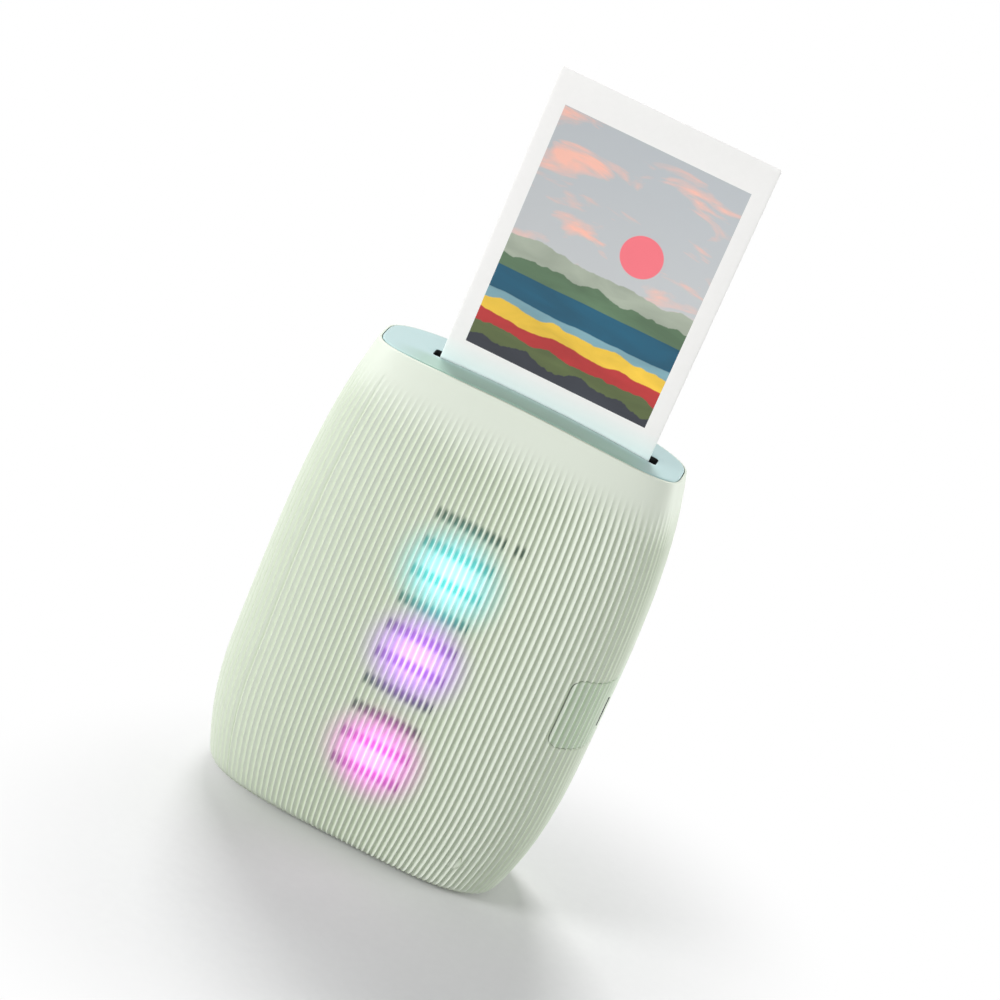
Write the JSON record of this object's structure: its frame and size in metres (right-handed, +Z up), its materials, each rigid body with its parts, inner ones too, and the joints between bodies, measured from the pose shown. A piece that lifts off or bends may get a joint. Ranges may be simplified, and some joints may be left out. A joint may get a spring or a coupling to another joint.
{
  "type": "photo printer",
  "caption": "Compact instant-film photo printer: ribbed barrel housing, top slot with a print coming out, hinged film door, side button and lights behind the ribs.",
  "frame": {"origin": "centre of the bounding box at the resting plane", "axes": "+Z up, along the print's way out; -Y the front with the lights; +X right seen from the front"},
  "size_m": [0.0902, 0.0374, 0.2013],
  "materials": {
    "ribbed_plastic": "fine satin, pale sage",
    "cap_plastic": "polished, pale mint",
    "button_plastic": "satin, pale green",
    "black_plastic": "matt",
    "frame_plastic": "matt",
    "gear_plastic": "natural",
    "pale_plastic": "satin",
    "foam": "soft",
    "foot_rubber": "matt",
    "steel": "drawn",
    "roller_rubber": "ground",
    "brass": "turned",
    "circuit_board": "solder mask",
    "light_board": "white solder mask",
    "light_lens": "clear resin",
    "diffuser": "opal",
    "dark_window": "tinted",
    "cell_wrap": "heat-shrink film",
    "print_sheet": "coated sheet"
  },
  "bodies": {
    "housing": {"front_shell": "ribbed_plastic", "rear_shell": "ribbed_plastic", "top_cap": "cap_plastic", "exit_guide": "black_plastic", "slot_seal": "foam", "base_cover": "ribbed_plastic", "base_foot": "foot_rubber", "case_screws": "steel", "door_seal": "foam", "hinge_pins": "steel", "switch_board": "circuit_board", "chassis": "frame_plastic", "roller_bushings": "gear_plastic", "idler_pin": "steel", "gear_motor": "steel", "exposure_head": "black_plastic", "lens_array": "dark_window", "main_board": "circuit_board", "led_board": "light_board", "light_leds": "light_lens", "light_diffuser": "diffuser", "battery": "cell_wrap", "usb_port": "steel", "film_pack": "black_plastic", "film_stack": "print_sheet", "pressure_plate": "black_plastic", "pressure_springs": "steel", "claw_spring": "steel"},
    "door": {"film_door": "ribbed_plastic", "pack_window": "dark_window", "latch_spring": "steel"},
    "latch": {"door_latch": "pale_plastic"},
    "button": {"power_button": "button_plastic", "status_window": "dark_window"},
    "drive_shaft": {"drive_roller": "steel", "drive_gear": "gear_plastic"},
    "pinch_shaft": {"pinch_roller": "roller_rubber", "pinch_gear": "gear_plastic"},
    "idler": {"idler_gear": "gear_plastic"},
    "pinion": {"motor_pinion": "brass"},
    "claw": {"pick_claw": "gear_plastic"},
    "print": {"photo_print": "print_sheet"}
  },
  "joints": [
    {"name": "film_door_hinge", "type": "hinge", "parent": "housing", "child": "door", "pos_m": [0, 0.0169, 0.004], "axis": [-1, 0, 0], "range_deg": [0, 90]},
    {"name": "door_latch_slide", "type": "slide", "parent": "door", "child": "latch", "axis": [0, 0, -1], "range_m": [0, 0.0025], "stiffness_N_per_m": 200, "springref_m": -0.002, "deforming": ["latch_spring"]},
    {"name": "power_button_press", "type": "hinge", "parent": "housing", "child": "button", "pos_m": [0.0362, -0.0103, 0.06], "axis": [0, 0, 1], "range_deg": [0, 2], "stiffness_Nm_per_rad": 0.6, "springref_deg": -3.44},
    {"name": "print_eject", "type": "slide", "parent": "housing", "child": "print", "axis": [0, 0, 1], "range_m": [-0.1, 0.0105]},
    {"name": "drive_roller_spin", "type": "hinge", "parent": "housing", "child": "drive_shaft", "pos_m": [0, -0.00882, 0.11], "axis": [1, 0, 0], "range_deg": [-2295, 245]},
    {"name": "pinch_roller_spin", "type": "hinge", "parent": "housing", "child": "pinch_shaft", "pos_m": [0, -0.00337, 0.11], "axis": [1, 0, 0], "range_deg": [-245, 2295]},
    {"name": "idler_gear_spin", "type": "hinge", "parent": "housing", "child": "idler", "pos_m": [-0.0307, -0.0006, 0.10276], "axis": [1, 0, 0], "range_deg": [-1245, 135]},
    {"name": "motor_pinion_spin", "type": "hinge", "parent": "housing", "child": "pinion", "pos_m": [-0.0307, 0.00181, 0.0965], "axis": [1, 0, 0], "range_deg": [-400, 3730]},
    {"name": "pick_claw_slide", "type": "slide", "parent": "housing", "child": "claw", "axis": [0, 0, 1], "range_m": [0, 0.004], "stiffness_N_per_m": 60, "springref_m": -0.001, "deforming": ["claw_spring"]}
  ],
  "couplings": [
    {"joint": "drive_roller_spin", "follows": "print_eject", "rad_per_m": 400},
    {"joint": "pinch_roller_spin", "follows": "print_eject", "rad_per_m": -400},
    {"joint": "idler_gear_spin", "follows": "print_eject", "rad_per_m": 216.67},
    {"joint": "motor_pinion_spin", "follows": "print_eject", "rad_per_m": -650}
  ]
}
